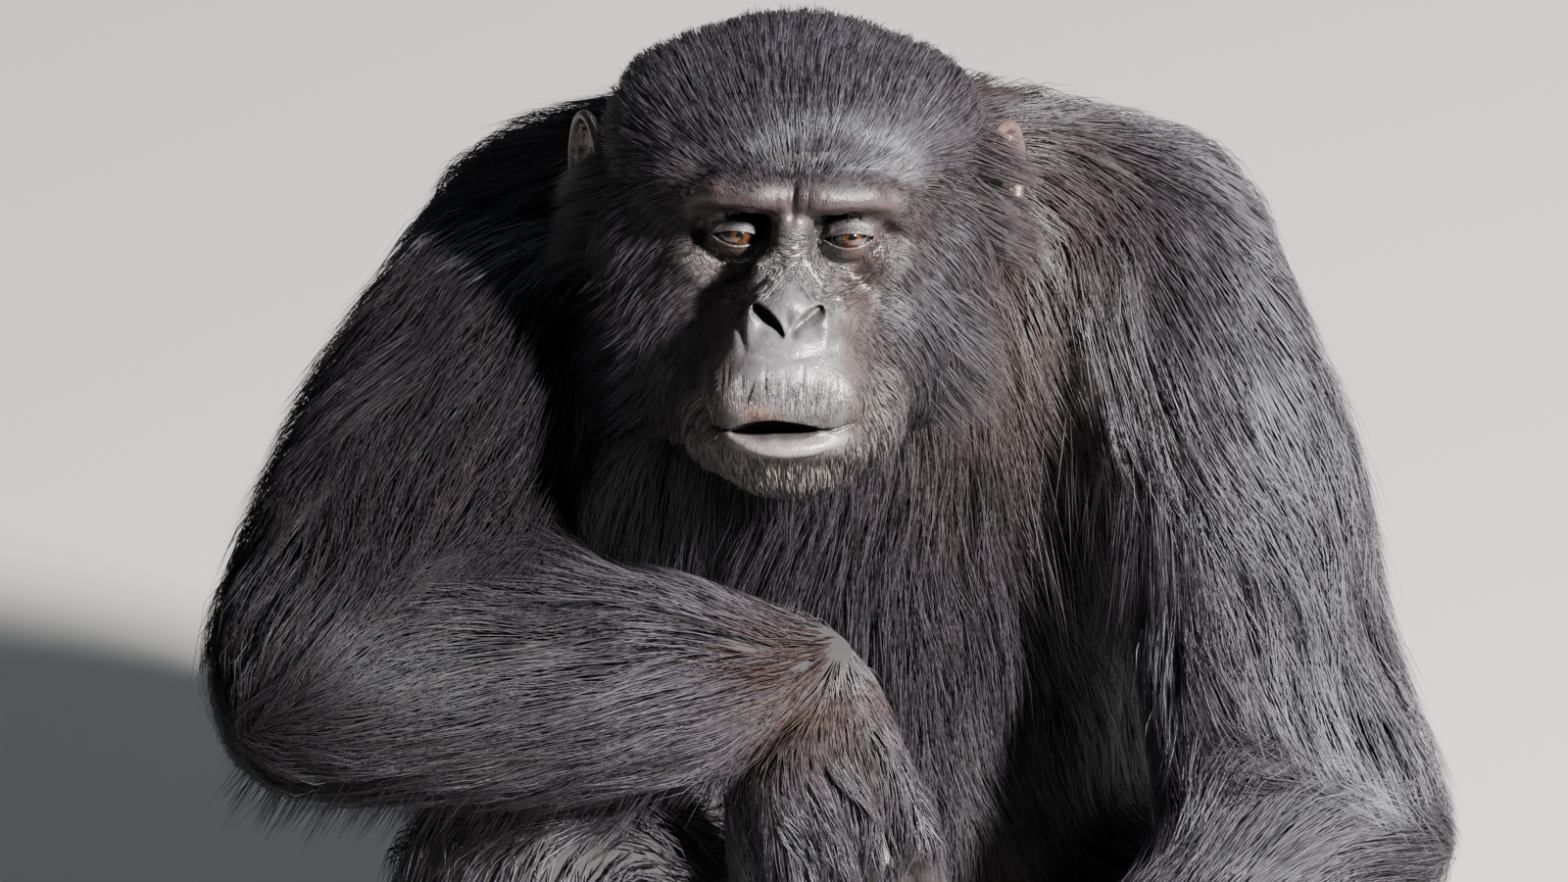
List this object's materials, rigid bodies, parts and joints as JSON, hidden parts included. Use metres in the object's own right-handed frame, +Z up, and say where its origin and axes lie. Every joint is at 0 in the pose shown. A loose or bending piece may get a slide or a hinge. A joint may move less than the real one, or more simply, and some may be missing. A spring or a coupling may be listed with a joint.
{
  "type": "sitting chimpanzee figure",
  "caption": "Life-size adult chimpanzee sitting on the floor, hunched forward, right forearm resting on its raised right knee, left hand hanging between its legs.",
  "frame": {"origin": "the middle of the underside of the animal's own box, on the floor that it sits on", "axes": "+Z up, the animal faces -Y, its left side is +X"},
  "size_m": [0.676, 0.7614, 0.7074],
  "materials": {
    "black_coat": "long black hair in overlapping locks, satin sheen, brownish where thin",
    "bare_skin": "dark grey-brown creased skin, soft gloss",
    "eye": "wet gloss, amber-brown iris"
  },
  "bodies": {
    "root": {"abdomen": "black_coat", "chest": "black_coat", "neck": "black_coat", "head": "black_coat", "lower_jaw": "black_coat", "upper_arm_r": "black_coat", "upper_arm_l": "black_coat", "forearm_r": "black_coat", "forearm_l": "black_coat", "thigh_r": "black_coat", "thigh_l": "black_coat", "shank_r": "black_coat", "shank_l": "black_coat", "ear_r": "bare_skin", "ear_l": "bare_skin", "hand_r": "bare_skin", "hand_l": "bare_skin", "foot_r": "bare_skin", "foot_l": "bare_skin", "eye_r": "eye", "eye_l": "eye"}
  },
  "joints": []
}
